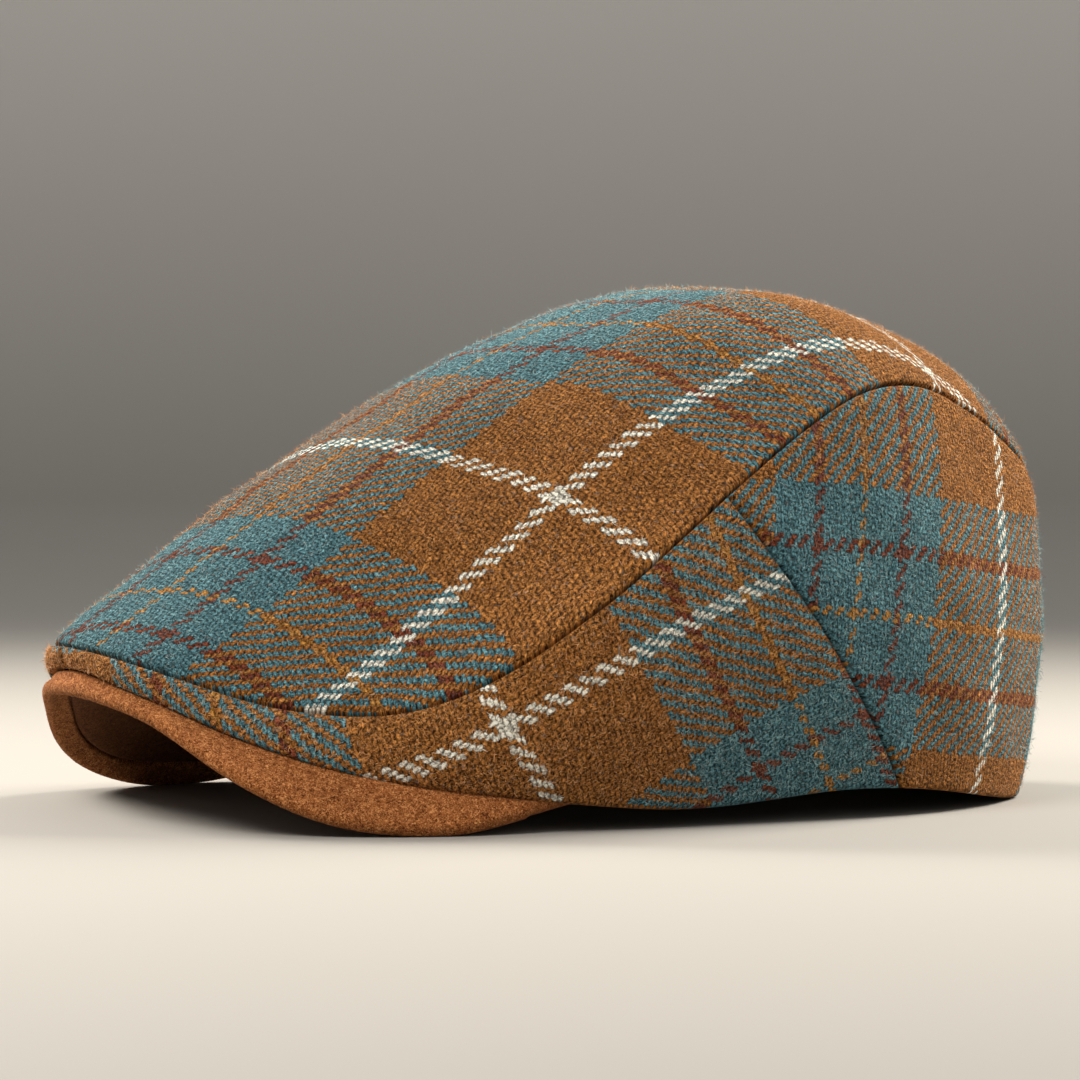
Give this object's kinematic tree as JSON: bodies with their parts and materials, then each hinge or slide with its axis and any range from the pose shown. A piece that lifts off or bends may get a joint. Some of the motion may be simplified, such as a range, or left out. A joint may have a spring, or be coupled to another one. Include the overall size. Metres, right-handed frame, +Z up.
{
  "type": "flat cap",
  "caption": "Flat cap of thick plaid tweed: a rounded crown sewn from shaped panels, low at the front and tall at the back, over a short bent peak covered in suede.",
  "frame": {"origin": "the middle of the cap's length and width, on the surface that it rests on", "axes": "+X to the wearer's left, +Y from the peak towards the back of the head, +Z up"},
  "size_m": [0.1928, 0.268, 0.1319],
  "materials": {
    "tweed_top": "thick plaid wool twill in teal and brown with white, rust and orange lines, slightly felted",
    "tweed_side": "the same plaid wool twill, cut for the side panels",
    "tweed_back": "the same plaid wool twill, cut for the back panels",
    "suede": "tan suede with a short mottled nap",
    "suede_under": "tan suede, the panel let into the underside of the peak"
  },
  "bodies": {
    "root": {"top_panel": "tweed_top", "side_panel_left": "tweed_side", "side_panel_right": "tweed_side", "back_panel_left": "tweed_back", "back_panel_right": "tweed_back", "peak_cover": "suede", "peak_underside": "suede_under"}
  },
  "joints": []
}
